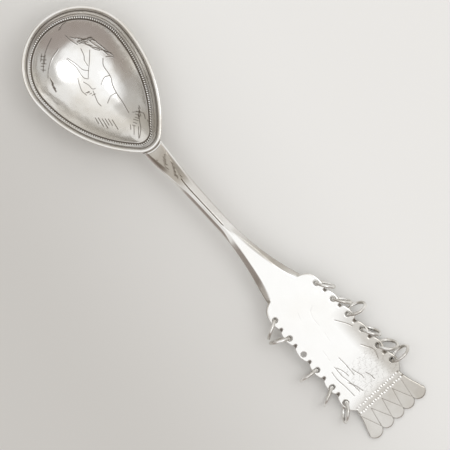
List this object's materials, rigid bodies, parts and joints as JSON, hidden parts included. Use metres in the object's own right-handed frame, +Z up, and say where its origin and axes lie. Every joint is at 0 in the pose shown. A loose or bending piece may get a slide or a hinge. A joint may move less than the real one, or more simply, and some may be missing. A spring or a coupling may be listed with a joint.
{
  "type": "ring spoon",
  "caption": "Silver spoon with a deep egg-shaped bowl, a slender facetted stem and a flat scalloped blade end with a comb edge, hung with loose wire rings.",
  "frame": {"origin": "the lowest point of the bowl, on the surface that the spoon lies on", "axes": "+X along the handle towards the comb end, +Z up out of the bowl, +Y to the right of the handle seen from the bowl with the hollow side up"},
  "size_m": [0.1607, 0.0357, 0.0113],
  "materials": {
    "silver": "worn polished silver"
  },
  "bodies": {
    "spoon": {"bowl": "silver", "handle": "silver"},
    "ring_right_1": {"ring_right_1": "silver"},
    "ring_right_2": {"ring_right_2": "silver"},
    "ring_right_3": {"ring_right_3": "silver"},
    "ring_right_4": {"ring_right_4": "silver"},
    "ring_right_5": {"ring_right_5": "silver"},
    "ring_right_6": {"ring_right_6": "silver"},
    "ring_left_1": {"ring_left_1": "silver"},
    "ring_left_2": {"ring_left_2": "silver"},
    "ring_left_4": {"ring_left_4": "silver"},
    "ring_left_5": {"ring_left_5": "silver"},
    "ring_left_6": {"ring_left_6": "silver"}
  },
  "joints": [
    {"name": "ring_right_1_swing", "type": "hinge", "parent": "spoon", "child": "ring_right_1", "pos_m": [0.09052, 0.00739, 0.00709], "axis": [-0.1053, 0, -0.9944], "range_deg": [-115, 5]},
    {"name": "ring_right_2_swing", "type": "hinge", "parent": "spoon", "child": "ring_right_2", "pos_m": [0.09752, 0.00791, 0.00631], "axis": [-0.116, 0, -0.9932], "range_deg": [-85, 5]},
    {"name": "ring_right_3_swing", "type": "hinge", "parent": "spoon", "child": "ring_right_3", "pos_m": [0.10394, 0.00811, 0.00553], "axis": [-0.1258, 0, -0.9921], "range_deg": [-9, 48]},
    {"name": "ring_right_4_swing", "type": "hinge", "parent": "spoon", "child": "ring_right_4", "pos_m": [0.11014, 0.00826, 0.00471], "axis": [-0.1353, 0, -0.9908], "range_deg": [-96, 2]},
    {"name": "ring_right_5_swing", "type": "hinge", "parent": "spoon", "child": "ring_right_5", "pos_m": [0.11702, 0.00844, 0.00374], "axis": [-0.1458, 0, -0.9893], "range_deg": [-45, 15]},
    {"name": "ring_right_6_swing", "type": "hinge", "parent": "spoon", "child": "ring_right_6", "pos_m": [0.12319, 0.00865, 0.0028], "axis": [-0.1553, 0, -0.9879], "range_deg": [-10, 57]},
    {"name": "ring_left_1_swing", "type": "hinge", "parent": "spoon", "child": "ring_left_1", "pos_m": [0.09052, -0.00919, 0.00709], "axis": [0.1053, 0, 0.9944], "range_deg": [-90, 4]},
    {"name": "ring_left_2_swing", "type": "hinge", "parent": "spoon", "child": "ring_left_2", "pos_m": [0.09752, -0.00971, 0.00631], "axis": [0.116, 0, 0.9932], "range_deg": [-2, 87]},
    {"name": "ring_left_4_swing", "type": "hinge", "parent": "spoon", "child": "ring_left_4", "pos_m": [0.11014, -0.01006, 0.00471], "axis": [0.1353, 0, 0.9908], "range_deg": [-54, 66]},
    {"name": "ring_left_5_swing", "type": "hinge", "parent": "spoon", "child": "ring_left_5", "pos_m": [0.11702, -0.01024, 0.00374], "axis": [0.1458, 0, 0.9893], "range_deg": [-85, 35]},
    {"name": "ring_left_6_swing", "type": "hinge", "parent": "spoon", "child": "ring_left_6", "pos_m": [0.12319, -0.01045, 0.0028], "axis": [0.1553, 0, 0.9879], "range_deg": [-67, 14]}
  ]
}
